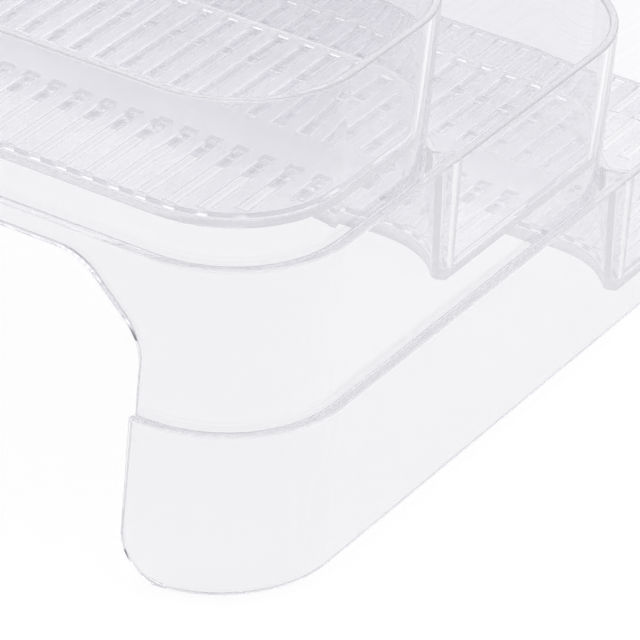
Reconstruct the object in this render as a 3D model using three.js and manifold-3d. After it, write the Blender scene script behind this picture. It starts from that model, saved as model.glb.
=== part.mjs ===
// Tiered storage box: three clear moulded tiers that stack in steps, each one seated in the rim of the tier below.
// Millimetres, +Z up. The low tier is in front at -Y and the high tier at the back. Origin: the middle of the base.
import * as THREE from "three";
import { mergeVertices } from "three/addons/utils/BufferGeometryUtils.js";
import Module from "manifold-3d";

const wasm = await Module();
wasm.setup();

// Overall sizes
const topWidth = 296;
const topDepth = 96;
const trayStep = 89;
const tierRise = 45;
const topCornerRadius = 33;

// Moulding
const wall = 2.4;
const wallDraft = 1.8;
const floorLift = 9.5;
const floorThickness = 2;
const floorFillet = 0.8;
const rimRadius = 0.7;
const edgeRadius = 0.5;

// How one tier seats in the rim of the next
const nestGap = 0.4;
const seatDrop = 1.5;
const seatGap = 0.3;
const seatWidth = 1.8;

// Partition that bends round the front corners of the tier above, then turns out to the side wall
const bendRun = 3.5;
const valleyRadius = 4.4;
const leastRadius = 0.3;
const flangeReach = 8.2;
const flangeAngle = THREE.MathUtils.degToRad(21);

// Arch through the back walls of the two lower tiers
const archDrop = 6.5;
const archShoulder = 18;
const archFillet = 15;
const legWidth = 35.8;
const legFlare = 3.4;
const toeRadius = 12;

// Loose drain plates
const plateThickness = 1.2;
const plateGap = 0.4;
const plateClearance = 0.3;
const plateBorder = 1.2;
const plateEdge = 0.3;
const slotPitch = 7.5;
const slotWidth = 3.7;
const slotStrip = 14;
const frontRowLength = 38;
const leastSlot = 6;

// Cutting tools run past the faces that they cut by this much
const overrun = 4;

// Facets on the round forms
const cornerSegments = 14;
const bendSegments = 10;
const valleySegments = 5;
const archSegments = 8;
const edgeSegments = 3;

const tierNames = ["top_bin", "middle_tier", "bottom_tier"];
const plateNames = ["top_drain_plate", "middle_drain_plate", "bottom_drain_plate"];
const lowestTier = tierNames.length - 1;

// Inward lean of the walls at a depth below the rim, and the step from one rim out to the next
const leanAt = (drop) => (wallDraft * drop) / tierRise;
const rimOutset = wall + nestGap - wallDraft;
const hollowInset = wall + leanAt(seatDrop) + seatWidth;

// Place of each tier, counted from the top
const halfWidth = (tier) => topWidth / 2 + tier * rimOutset;
const tierDepth = (tier) => topDepth + tier * (trayStep + rimOutset);
const backFace = (tier) => tierDepth(lowestTier) / 2 - (lowestTier - tier) * rimOutset;
const frontFace = (tier) => backFace(tier) - tierDepth(tier);
const cornerRadius = (tier) => topCornerRadius + tier * rimOutset;
const wallHeight = tierRise + seatDrop - seatGap;
const baseHeight = (tier) => tierRise * (lowestTier - tier);
const rimHeight = (tier) => baseHeight(tier) + wallHeight;
const floorUnder = (tier) => rimHeight(tier) - tierRise + floorLift;
const floorTop = (tier) => floorUnder(tier) + floorThickness;

// Points of an arc with both ends
function arc(centre, radius, from, to, segments) {
  const points = [];
  for (let i = 0; i <= segments; i++) {
    const angle = from + ((to - from) * i) / segments;
    const x = centre.x + radius * Math.cos(angle);
    const y = centre.y + radius * Math.sin(angle);
    points.push(new THREE.Vector2(x, y));
  }
  return points;
}

// Arc that rounds a corner, tangent to both its edges
function fillet(before, corner, after, radius, segments) {
  const toBefore = before.clone().sub(corner).normalize();
  const toAfter = after.clone().sub(corner).normalize();
  const half = Math.acos(toBefore.dot(toAfter)) / 2;
  const start = corner.clone().addScaledVector(toBefore, radius / Math.tan(half));
  const end = corner.clone().addScaledVector(toAfter, radius / Math.tan(half));
  const middle = toBefore.clone().add(toAfter).setLength(radius / Math.sin(half));
  const centre = corner.clone().add(middle);
  const from = start.sub(centre).angle();
  const sweep = end.sub(centre).angle() - from;
  const turn = sweep - 2 * Math.PI * Math.round(sweep / (2 * Math.PI));
  return arc(centre, radius, from, from + turn, segments);
}

// Points mirrored to the other side, in the order that carries the outline on
function mirrored(points) {
  return points.map((point) => new THREE.Vector2(-point.x, point.y)).reverse();
}

// Rounded corners at the back of a tier's outline, right then left, moved inwards by inset
function backCorners(tier, inset) {
  const radius = cornerRadius(tier) - inset;
  const x = halfWidth(tier) - cornerRadius(tier);
  const centre = new THREE.Vector2(x, backFace(tier) - cornerRadius(tier));
  const right = arc(centre, radius, 0, Math.PI / 2, cornerSegments);
  return [...right, ...mirrored(right)];
}

// Rounded corners at the front of a tier's outline, left then right
function frontCorners(tier, inset) {
  const radius = cornerRadius(tier) - inset;
  const x = halfWidth(tier) - cornerRadius(tier);
  const centre = new THREE.Vector2(x, frontFace(tier) + cornerRadius(tier));
  const right = arc(centre, radius, -Math.PI / 2, 0, cornerSegments);
  return [...mirrored(right), ...right];
}

function tierOutline(tier, inset) {
  return [...backCorners(tier, inset), ...frontCorners(tier, inset)];
}

// Angle at which the partition leaves its bend, so that after its run it is valleyX off the bend's centre
function bendEndAngle(bendRadius, valleyX) {
  return Math.atan2(bendRun, bendRadius) + Math.acos(valleyX / Math.hypot(bendRadius, bendRun));
}

// Line of the partition from the right wall to the left one, moved towards the tray by shift.
// With no shift it is the face that stands one nest gap off the tier above.
function partitionLine(tier, inset, shift) {
  const above = tier - 1;
  const x = halfWidth(above) - cornerRadius(above);
  const centre = new THREE.Vector2(x, frontFace(above) + cornerRadius(above));
  const seated = cornerRadius(above) - wallDraft + nestGap;
  const bendEnd = bendEndAngle(seated, halfWidth(tier) - flangeReach - centre.x);
  const bendNormal = new THREE.Vector2(Math.cos(bendEnd), -Math.sin(bendEnd));
  const bendTangent = new THREE.Vector2(Math.sin(bendEnd), Math.cos(bendEnd));
  const flangeNormal = new THREE.Vector2(-Math.sin(flangeAngle), -Math.cos(flangeAngle));
  const miter = bendNormal.clone().add(flangeNormal).divideScalar(1 + bendNormal.dot(flangeNormal));
  const valley = centre.clone().addScaledVector(bendNormal, seated).addScaledVector(bendTangent, bendRun);
  valley.addScaledVector(miter, shift);
  const wallX = halfWidth(tier) - inset;
  const foot = new THREE.Vector2(wallX, valley.y - (wallX - valley.x) * Math.tan(flangeAngle));
  const bend = arc(centre, seated + shift, -bendEnd, -Math.PI / 2, bendSegments);
  const radius = Math.max(valleyRadius - shift, leastRadius);
  const right = [foot, ...fillet(foot, valley, bend[0], radius, valleySegments), ...bend];
  return [...right, ...mirrored(right)];
}

// Outline of the space for the tier above, behind the partition
function sleeveOutline(tier, inset) {
  return [...backCorners(tier, inset), ...partitionLine(tier, inset, wall - inset).reverse()];
}

// Outline of the hollow behind the partition, which is one wall thick and leans as it goes down by drop
function hollowOutline(tier, drop) {
  return [...backCorners(tier, hollowInset), ...partitionLine(tier, hollowInset, leanAt(drop)).reverse()];
}

// Outline of a tray's inside, in front of the partition
function trayOutline(tier, inset) {
  if (tier === 0) return tierOutline(tier, inset);
  return [...partitionLine(tier, inset, inset), ...frontCorners(tier, inset)];
}

// Ring of an outline at one height
function level(z, points) {
  return { points, place: (point) => [point.x, point.y, z] };
}

// Ring of a tier's outline at a height, with the lean of its walls
function leaning(tier, outline, z, inset) {
  return level(z, outline(tier, inset + leanAt(rimHeight(tier) - z)));
}

// Steps of a quarter round, from the side face to the end face
function quarterRound(radius) {
  const steps = [];
  for (let i = 0; i <= edgeSegments; i++) {
    const angle = ((Math.PI / 2) * i) / edgeSegments;
    steps.push({ fromEnd: radius * (1 - Math.sin(angle)), fromSide: radius * (1 - Math.cos(angle)) });
  }
  return steps;
}

// Closed geometry through rings, lowest first, where place puts each plan point into the model
function loft(rings) {
  const count = rings[0].points.length;
  const positions = rings.flatMap(({ points, place }) => points.flatMap((point) => place(point)));
  const index = [];
  for (let level = 0; level < rings.length - 1; level++) {
    for (let i = 0; i < count; i++) {
      const a = level * count + i;
      const b = level * count + ((i + 1) % count);
      index.push(a, b, b + count, a, b + count, a + count);
    }
  }
  const last = rings.length - 1;
  for (const [a, b, c] of THREE.ShapeUtils.triangulateShape(rings[0].points, [])) {
    index.push(c, b, a);
  }
  for (const face of THREE.ShapeUtils.triangulateShape(rings[last].points, [])) {
    index.push(...face.map((corner) => last * count + corner));
  }
  const geometry = new THREE.BufferGeometry();
  geometry.setAttribute("position", new THREE.Float32BufferAttribute(positions, 3));
  geometry.setIndex(index);
  return geometry;
}

// Solid for joining and cutting from a closed geometry
function solid(geometry) {
  const bare = geometry.clone();
  bare.deleteAttribute("normal");
  bare.deleteAttribute("uv");
  const merged = mergeVertices(bare);
  const vertProperties = merged.attributes.position.array;
  const triVerts = new Uint32Array(merged.index.array);
  return new wasm.Manifold(new wasm.Mesh({ numProp: 3, vertProperties, triVerts }));
}

// Geometry to draw from a finished solid
function drawable(body) {
  const { vertProperties, triVerts } = body.getMesh();
  const geometry = new THREE.BufferGeometry();
  geometry.setAttribute("position", new THREE.BufferAttribute(vertProperties, 3));
  geometry.setIndex(new THREE.BufferAttribute(triVerts, 1));
  return geometry;
}

// Solid between two heights with upright sides
function upright(points, bottom, top) {
  return solid(loft([level(bottom, points), level(top, points)]));
}

// Outer form of a tier, rounded along its rim and its base
function shell(tier) {
  const ring = (z, inset) => leaning(tier, tierOutline, z, inset);
  const base = quarterRound(edgeRadius).map((step) => ring(baseHeight(tier) + step.fromEnd, step.fromSide));
  const rim = quarterRound(rimRadius).map((step) => ring(rimHeight(tier) - step.fromEnd, step.fromSide));
  return solid(loft([...base.reverse(), ...rim]));
}

// Hollow under a tier's floor, widened a little at the base to round the edge
function hollow(tier) {
  const ring = (z, inset) => level(z, tierOutline(tier, inset));
  const steps = quarterRound(edgeRadius);
  const base = steps.map((step) => ring(baseHeight(tier) + step.fromEnd, hollowInset - step.fromSide));
  return solid(loft([
    ring(baseHeight(tier) - overrun, hollowInset - edgeRadius),
    ...base.reverse(),
    ring(floorUnder(tier), hollowInset),
  ]));
}

// Rings of an opening's rounded rim, on up past the rim
function rimRings(tier, outline) {
  const ring = (z, outward) => leaning(tier, outline, z, wall - outward);
  const rim = quarterRound(rimRadius).map((step) => ring(rimHeight(tier) - step.fromEnd, step.fromSide));
  return [...rim, ring(rimHeight(tier) + overrun, rimRadius)];
}

// Inside of a tray, with a small fillet round its floor
function trayPocket(tier) {
  const ring = (z, extra) => leaning(tier, trayOutline, z, wall + extra);
  const steps = quarterRound(floorFillet);
  const floor = steps.map((step) => ring(floorTop(tier) + step.fromEnd, step.fromSide));
  return solid(loft([...floor.reverse(), ...rimRings(tier, trayOutline)]));
}

// Seat in the rim for the tier above, and the hollow under it
function sleeve(tier) {
  const ledge = leaning(tier, sleeveOutline, rimHeight(tier) - seatDrop, wall);
  const seat = solid(loft([ledge, ...rimRings(tier, sleeveOutline)]));
  const ring = (z) => level(z, hollowOutline(tier, rimHeight(tier) - z));
  const under = solid(loft([ring(floorUnder(tier) - overrun), ring(rimHeight(tier) - seatDrop + overrun)]));
  return seat.add(under);
}

// Lower end of the arch's right side: a rounded toe on the table, or a plain end under the base
function archFoot(tier, ankle, haunch, grow) {
  if (tier !== lowestTier) {
    const share = (baseHeight(tier) - overrun - ankle.y) / (haunch.y - ankle.y);
    return [ankle.clone().lerp(haunch, share)];
  }
  const centre = new THREE.Vector2(ankle.x - grow + toeRadius, toeRadius);
  const toe = arc(centre, toeRadius - grow, -Math.PI / 2, -Math.PI, archSegments);
  return [new THREE.Vector2(centre.x, -overrun), ...toe];
}

// Right half of the arch's outline in X and Z, from the foot up, moved out into the wall by grow
function archHalf(tier, grow) {
  const crown = rimHeight(1) - archDrop;
  const side = halfWidth(1) - legWidth;
  const slip = grow * Math.tan(Math.PI / 8);
  const ankle = new THREE.Vector2(side - legFlare + grow, toeRadius);
  const haunch = new THREE.Vector2(side + grow, crown - archShoulder + slip);
  const shoulder = new THREE.Vector2(side - archShoulder + slip, crown + grow);
  const middle = new THREE.Vector2(0, crown + grow);
  return [
    ...archFoot(tier, ankle, haunch, grow),
    ...fillet(ankle, haunch, shoulder, archFillet + grow, archSegments),
    ...fillet(haunch, shoulder, middle, archFillet + grow, archSegments),
  ];
}

// Cutter for the arch through a back wall, widened at both faces to round the edges
function archCutter(tier) {
  const outerFace = (z) => backFace(tier) - leanAt(rimHeight(tier) - z);
  const innerFace = () => backFace(tier) - hollowInset;
  const ring = (face, offset, grow) => {
    const right = archHalf(tier, grow);
    const place = (point) => [point.x, face(point.y) + offset, point.y];
    return { points: [...right, ...mirrored(right)], place };
  };
  const steps = quarterRound(edgeRadius);
  const outer = steps.map((step) => ring(outerFace, -step.fromEnd, step.fromSide));
  const inner = steps.map((step) => ring(innerFace, step.fromEnd, step.fromSide));
  return solid(loft([
    ring(outerFace, overrun, edgeRadius),
    ...outer.reverse(),
    ...inner,
    ring(innerFace, -overrun, edgeRadius),
  ]));
}

// One moulded tier
function tierBody(tier) {
  const body = shell(tier).subtract(trayPocket(tier)).subtract(hollow(tier));
  return tier === 0 ? body : body.subtract(sleeve(tier)).subtract(archCutter(tier));
}

// Lowest and highest place where an outline crosses a line parallel to Y
function reachAt(outline, x) {
  const places = [];
  outline.forEach((a, i) => {
    const b = outline[(i + 1) % outline.length];
    if (a.x > x !== b.x > x) places.push(a.y + ((x - a.x) * (b.y - a.y)) / (b.x - a.x));
  });
  return { front: Math.min(...places), back: Math.max(...places) };
}

// Plans of the slots of one column of a plate, one in each row
function columnSlots(outline, x, split) {
  const left = reachAt(outline, x - slotWidth / 2);
  const right = reachAt(outline, x + slotWidth / 2);
  const back = Math.min(left.back, right.back);
  const front = Math.max(left.front, right.front);
  const rows = [
    [split, back],
    [front, split - slotStrip],
  ];
  return rows.filter(([from, to]) => to - from > leastSlot).map(([from, to]) => [
    new THREE.Vector2(x - slotWidth / 2, from),
    new THREE.Vector2(x + slotWidth / 2, from),
    new THREE.Vector2(x + slotWidth / 2, to),
    new THREE.Vector2(x - slotWidth / 2, to),
  ]);
}

// Drain plate that lies on the floor of a tray
function drainPlate(tier) {
  const bottom = floorTop(tier) + plateClearance;
  const top = bottom + plateThickness;
  const inset = wall + leanAt(rimHeight(tier) - floorTop(tier)) + floorFillet + plateGap;
  const inside = trayOutline(tier, inset + plateBorder);
  const split = reachAt(inside, 0).front + frontRowLength + slotStrip;
  const room = halfWidth(tier) - inset - plateBorder - slotWidth / 2;
  const half = Math.floor(room / slotPitch + 1 / 2);
  const ring = (z, extra) => level(z, trayOutline(tier, inset + extra));
  const edge = quarterRound(plateEdge).map((step) => ring(top - step.fromEnd, step.fromSide));
  let plate = solid(loft([ring(bottom, 0), ...edge]));
  for (let column = -half; column < half; column++) {
    for (const slot of columnSlots(inside, (column + 1 / 2) * slotPitch, split)) {
      plate = plate.subtract(upright(slot, bottom - overrun, top + overrun));
    }
  }
  return plate;
}

function clearPlastic() {
  return new THREE.MeshStandardMaterial({
    color: 0xe9eaf1,
    roughness: 0.08,
    metalness: 0,
    transparent: true,
    opacity: 0.35,
  });
}

function piece(name, body) {
  const mesh = new THREE.Mesh(drawable(body), clearPlastic());
  mesh.name = name;
  return mesh;
}

const box = new THREE.Group();
tierNames.forEach((name, tier) => box.add(piece(name, tierBody(tier))));
plateNames.forEach((name, tier) => box.add(piece(name, drainPlate(tier))));

export default box;
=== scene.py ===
"""Tiered storage box in clear moulded plastic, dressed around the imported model. Metres, +Z up."""

import math

import bpy
from mathutils import Matrix, Vector

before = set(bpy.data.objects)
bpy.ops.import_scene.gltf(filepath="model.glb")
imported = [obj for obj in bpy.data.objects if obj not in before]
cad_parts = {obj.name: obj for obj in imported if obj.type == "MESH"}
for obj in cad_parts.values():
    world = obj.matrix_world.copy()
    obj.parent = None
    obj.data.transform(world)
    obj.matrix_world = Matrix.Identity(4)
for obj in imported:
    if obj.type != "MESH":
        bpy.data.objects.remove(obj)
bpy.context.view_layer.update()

MM = 0.001
WHITE = (1.0, 1.0, 1.0, 1.0)

# Camera matched to the photograph
CAMERA_PLACE = Vector((-719.4, 1056.3, 743.9)) * MM
CAMERA_AZIMUTH = math.radians(211.18)
CAMERA_ELEVATION = math.radians(31.25)
CAMERA_ROLL = math.radians(3.10)
FOCAL_PIXELS = 5491.0
PICTURE_PIXELS = 640
SENSOR_WIDTH = 36.0
CLIP_NEAR = 0.05
CLIP_FAR = 60.0

# Smooth shading of the mouldings' curves
SHARP_ANGLE = math.radians(40)
WELD_DISTANCE = 0.001 * MM
FLAT_FACE_WEIGHT = 100

# Clear plastic with a haze inside. The haze's number is its absorption per metre of plastic, and also
# the strength of a painted glow in the haze's colour, which comes in place of what it absorbs. The
# absorption is partly the plastic's own and partly painted shade, standing in for the shadow the box
# casts on the table under it.
PLASTIC_IOR = 1.53
# The tier tint is the plastic's own grey and also painted shade: it darkens what is seen through the
# tiers in place of the box's shadow on the table.
TIER_TINT_AND_SHADE = (0.905, 0.902, 0.918, 1.0)
PLATE_TINT = (0.97, 0.97, 0.98, 1.0)
PAINTED_GLOW_COLOUR = (0.74, 0.736, 0.772, 1.0)
TIER_HAZE_AND_GLOW = 25.0
PLATE_HAZE_AND_GLOW = 200.0

# The veil is pale, so that a tool that reads only its colour gives pale plastic. Its density is
# worked out from this grey, so the grey doesn't change the look.
VEIL_GREY = 0.9

# Surface of the plastic: roughness where it is least and most worn, and the depth of its waves
TIER_ROUGHNESS = (0.0, 0.02)
PLATE_ROUGHNESS = (0.1, 0.2)
TIER_WAVES = 0.006 * MM
PLATE_WAVES = 0.004 * MM
WAVE_STRENGTH = 1.0

# Noise patterns: scale, detail and roughness. The ranges are the parts of the noise that are used.
WEAR_PATTERN = (28.0, 4.0, 0.6)
WEAR_RANGE = (0.35, 0.7)
WAVE_PATTERN = (18.0, 1.0, 0.4)
GRAIN_PATTERN = (6.0, 3.0, 0.5)
GRAIN_RANGE = (0.3, 0.7)

# Table. Its colour is dark and its glow makes it white, as paper in a light tent looks.
FLOOR_SIZE = 8.0
FLOOR_DROP = 0.05 * MM
FLOOR_COLOUR = (0.2, 0.2, 0.2, 1.0)
FLOOR_GLOW = 0.88
FLOOR_SPECULAR = 0.2
FLOOR_ROUGHNESS = (0.55, 0.65)

# Cloth of the light tent: height of the direction, 0 level and 1 straight up, and its shade there
SKY_STRENGTH = 1.55
SKY_SHADES = (
    (0.0, (0.01, 0.012, 0.018, 1.0)),
    (0.22, (0.2, 0.205, 0.23, 1.0)),
    (0.42, WHITE),
    (0.65, WHITE),
    (1.0, (0.55, 0.55, 0.56, 1.0)),
)

# Open side of the tent, a fixed direction in the room. The edge and the middle are cosines of the
# angle from it: beyond the edge is cloth, and inside the middle the opening is at its darkest.
OPENING_SIDE = (-0.443, 0.732, 0.518)
OPENING_EDGE = 0.5
OPENING_MIDDLE = 0.75
OPENING_SHADE = 0.03

# Soft light above the box
OVERHEAD_PLACE = Vector((0.3, -0.3, 2.2))
OVERHEAD_SIZE = 1.6
OVERHEAD_POWER = 10.0

# Light passes many walls before it comes out
BOUNCES = 20
TRANSPARENT_BOUNCES = 16


def principled(name):
    """A new node material, its node tree and its shader."""
    material = bpy.data.materials.new(name)
    material.use_nodes = True
    tree = material.node_tree
    return material, tree, tree.nodes["Principled BSDF"]


def noise(tree, coordinates, scale, detail, roughness):
    """Noise over the coordinates, about 0 to 1."""
    node = tree.nodes.new("ShaderNodeTexNoise")
    node.inputs["Scale"].default_value = scale
    node.inputs["Detail"].default_value = detail
    node.inputs["Roughness"].default_value = roughness
    tree.links.new(coordinates, node.inputs["Vector"])
    return node.outputs["Fac"]


def remap(tree, value, low, high, new_low, new_high):
    """The value moved from the old range to the new one, and held within it."""
    node = tree.nodes.new("ShaderNodeMapRange")
    node.inputs["From Min"].default_value = low
    node.inputs["From Max"].default_value = high
    node.inputs["To Min"].default_value = new_low
    node.inputs["To Max"].default_value = new_high
    tree.links.new(value, node.inputs["Value"])
    return node.outputs["Result"]


def patchy_roughness(tree, place, pattern, used_range, roughness_range, shader):
    """Roughness that varies over the surface with a noise pattern."""
    patches = noise(tree, place, *pattern)
    roughness = remap(tree, patches, *used_range, *roughness_range)
    tree.links.new(roughness, shader.inputs["Roughness"])


def moulding_waves(tree, place, depth, shader):
    """The faint, slow unevenness of a moulded face."""
    waves = noise(tree, place, *WAVE_PATTERN)
    bump = tree.nodes.new("ShaderNodeBump")
    bump.inputs["Strength"].default_value = WAVE_STRENGTH
    bump.inputs["Distance"].default_value = depth
    tree.links.new(waves, bump.inputs["Height"])
    tree.links.new(bump.outputs["Normal"], shader.inputs["Normal"])


def haze_and_painted_glow(tree, absorption):
    """Haze in the plastic with a painted glow: it absorbs and gives off light of its own, so a long
    way through it ends in the glow's pale grey.
    """
    veil = tree.nodes.new("ShaderNodeVolumeAbsorption")
    veil.inputs["Color"].default_value = (VEIL_GREY, VEIL_GREY, VEIL_GREY, 1.0)
    veil.inputs["Density"].default_value = absorption / (1.0 - VEIL_GREY)
    # Painted glow: the haze gives off light in its own colour, though it is no lamp.
    glow = tree.nodes.new("ShaderNodeEmission")
    glow.inputs["Color"].default_value = PAINTED_GLOW_COLOUR
    glow.inputs["Strength"].default_value = absorption
    both = tree.nodes.new("ShaderNodeAddShader")
    tree.links.new(veil.outputs["Volume"], both.inputs[0])
    tree.links.new(glow.outputs["Emission"], both.inputs[1])
    tree.links.new(both.outputs["Shader"], tree.nodes["Material Output"].inputs["Volume"])


def clear_plastic(name, tint, haze, roughness_range, wave_depth):
    """Clear moulded plastic with a haze inside that absorbs and gives off a painted glow, a little
    rougher where it is worn.
    """
    material, tree, shader = principled(name)
    place = tree.nodes.new("ShaderNodeTexCoord").outputs["Object"]
    patchy_roughness(tree, place, WEAR_PATTERN, WEAR_RANGE, roughness_range, shader)
    moulding_waves(tree, place, wave_depth, shader)
    shader.inputs["Base Color"].default_value = tint
    shader.inputs["IOR"].default_value = PLASTIC_IOR
    shader.inputs["Transmission Weight"].default_value = 1.0
    haze_and_painted_glow(tree, haze)
    return material


def white_floor():
    """Matt table paper. Nearly all of its white is its own glow."""
    material, tree, shader = principled("floor_white")
    place = tree.nodes.new("ShaderNodeTexCoord").outputs["Object"]
    patchy_roughness(tree, place, GRAIN_PATTERN, GRAIN_RANGE, FLOOR_ROUGHNESS, shader)
    shader.inputs["Base Color"].default_value = FLOOR_COLOUR
    shader.inputs["Specular IOR Level"].default_value = FLOOR_SPECULAR
    shader.inputs["Emission Color"].default_value = WHITE
    shader.inputs["Emission Strength"].default_value = FLOOR_GLOW
    return material


def smooth_by_angle():
    """Geometry nodes that shade faces smooth and keep the edges over the angle sharp."""
    group = bpy.data.node_groups.new("smooth_by_angle", "GeometryNodeTree")
    group.interface.new_socket("Geometry", in_out="INPUT", socket_type="NodeSocketGeometry")
    group.interface.new_socket("Geometry", in_out="OUTPUT", socket_type="NodeSocketGeometry")
    start = group.nodes.new("NodeGroupInput")
    end = group.nodes.new("NodeGroupOutput")
    faces = group.nodes.new("GeometryNodeSetShadeSmooth")
    edges = group.nodes.new("GeometryNodeSetShadeSmooth")
    edges.domain = "EDGE"
    edges.inputs["Shade Smooth"].default_value = False
    angle = group.nodes.new("GeometryNodeInputMeshEdgeAngle")
    over = group.nodes.new("FunctionNodeCompare")
    over.data_type = "FLOAT"
    over.operation = "GREATER_THAN"
    over.inputs["B"].default_value = SHARP_ANGLE
    group.links.new(start.outputs["Geometry"], faces.inputs["Geometry"])
    group.links.new(faces.outputs["Geometry"], edges.inputs["Geometry"])
    group.links.new(angle.outputs["Unsigned Angle"], over.inputs["A"])
    group.links.new(over.outputs["Result"], edges.inputs["Selection"])
    group.links.new(edges.outputs["Geometry"], end.inputs["Geometry"])
    return group


def dress(node, material, smoothing):
    """Gives a moulding its plastic, and shades its curves smooth with its flat faces kept flat."""
    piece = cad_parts[node]
    piece.data.materials.clear()
    piece.data.materials.append(material)
    weld = piece.modifiers.new("weld", "WELD")
    weld.merge_threshold = WELD_DISTANCE
    shade = piece.modifiers.new("smooth", "NODES")
    shade.node_group = smoothing
    flatten = piece.modifiers.new("flat_faces", "WEIGHTED_NORMAL")
    flatten.mode = "FACE_AREA"
    flatten.weight = FLAT_FACE_WEIGHT
    flatten.keep_sharp = True


def make_camera():
    """The camera at its matched place, turned by azimuth and elevation and then rolled."""
    data = bpy.data.cameras.new("camera")
    data.sensor_width = SENSOR_WIDTH
    data.lens = FOCAL_PIXELS * SENSOR_WIDTH / PICTURE_PIXELS
    data.clip_start = CLIP_NEAR
    data.clip_end = CLIP_FAR
    camera = bpy.data.objects.new("camera", data)
    bpy.context.scene.collection.objects.link(camera)
    level = math.cos(CAMERA_ELEVATION)
    back = Vector((
        math.sin(CAMERA_AZIMUTH) * level,
        -math.cos(CAMERA_AZIMUTH) * level,
        math.sin(CAMERA_ELEVATION),
    ))
    aim = back.to_track_quat("Z", "Y").to_matrix().to_4x4()
    camera.matrix_world = Matrix.Translation(CAMERA_PLACE) @ aim @ Matrix.Rotation(CAMERA_ROLL, 4, "Z")
    bpy.context.scene.camera = camera


def make_floor():
    """The table, a hair lower than the box's base so that their faces don't fall together."""
    bpy.ops.mesh.primitive_plane_add(size=FLOOR_SIZE, location=(0.0, 0.0, -FLOOR_DROP))
    floor = bpy.context.object
    floor.name = "floor"
    floor.data.materials.append(white_floor())


def tent_cloth(tree, direction):
    """The tent's cloth: dark at table height, brightest half-way up and greyer straight above."""
    split = tree.nodes.new("ShaderNodeSeparateXYZ")
    tree.links.new(direction, split.inputs["Vector"])
    ramp = tree.nodes.new("ShaderNodeValToRGB")
    stops = ramp.color_ramp.elements
    while len(stops) < len(SKY_SHADES):
        stops.new(1.0)
    for stop, (height, shade) in zip(stops, SKY_SHADES):
        stop.position = height
        stop.color = shade
    tree.links.new(split.outputs["Z"], ramp.inputs["Fac"])
    return ramp.outputs["Color"]


def tent_opening(tree, direction):
    """1 on the tent's cloth, and nearly 0 in the middle of its open side, where the room is dark."""
    towards = tree.nodes.new("ShaderNodeVectorMath")
    towards.operation = "DOT_PRODUCT"
    towards.inputs[1].default_value = OPENING_SIDE
    tree.links.new(direction, towards.inputs[0])
    return remap(tree, towards.outputs["Value"], OPENING_EDGE, OPENING_MIDDLE, 1.0, OPENING_SHADE)


def make_sky():
    """The light tent around the box, with its open side."""
    world = bpy.data.worlds.new("studio")
    world.use_nodes = True
    bpy.context.scene.world = world
    tree = world.node_tree
    direction = tree.nodes.new("ShaderNodeTexCoord").outputs["Generated"]
    cloth = tent_cloth(tree, direction)
    opening = tent_opening(tree, direction)
    strength = tree.nodes.new("ShaderNodeMath")
    strength.operation = "MULTIPLY"
    strength.inputs[1].default_value = SKY_STRENGTH
    tree.links.new(opening, strength.inputs[0])
    sky = tree.nodes["Background"]
    tree.links.new(strength.outputs["Value"], sky.inputs["Strength"])
    tree.links.new(cloth, sky.inputs["Color"])


def make_overhead_light():
    """A soft round light above, turned towards the middle of the box's base."""
    data = bpy.data.lights.new("overhead", "AREA")
    data.shape = "DISK"
    data.size = OVERHEAD_SIZE
    data.energy = OVERHEAD_POWER
    light = bpy.data.objects.new("overhead", data)
    bpy.context.scene.collection.objects.link(light)
    light.location = OVERHEAD_PLACE
    light.rotation_euler = OVERHEAD_PLACE.to_track_quat("Z", "Y").to_euler()


def set_view():
    """Plain view colours, and bounces enough for many walls in a row."""
    scene = bpy.context.scene
    scene.view_settings.view_transform = "Standard"
    scene.view_settings.exposure = 0.0
    scene.cycles.max_bounces = BOUNCES
    scene.cycles.transmission_bounces = BOUNCES
    scene.cycles.glossy_bounces = BOUNCES
    scene.cycles.transparent_max_bounces = TRANSPARENT_BOUNCES


smoothing = smooth_by_angle()
tier_plastic = clear_plastic("tier_plastic", TIER_TINT_AND_SHADE, TIER_HAZE_AND_GLOW, TIER_ROUGHNESS, TIER_WAVES)
plate_plastic = clear_plastic("plate_plastic", PLATE_TINT, PLATE_HAZE_AND_GLOW, PLATE_ROUGHNESS, PLATE_WAVES)
for tier in ("top_bin", "middle_tier", "bottom_tier"):
    dress(tier, tier_plastic, smoothing)
for plate in ("top_drain_plate", "middle_drain_plate", "bottom_drain_plate"):
    dress(plate, plate_plastic, smoothing)

make_camera()
make_floor()
make_sky()
make_overhead_light()
set_view()
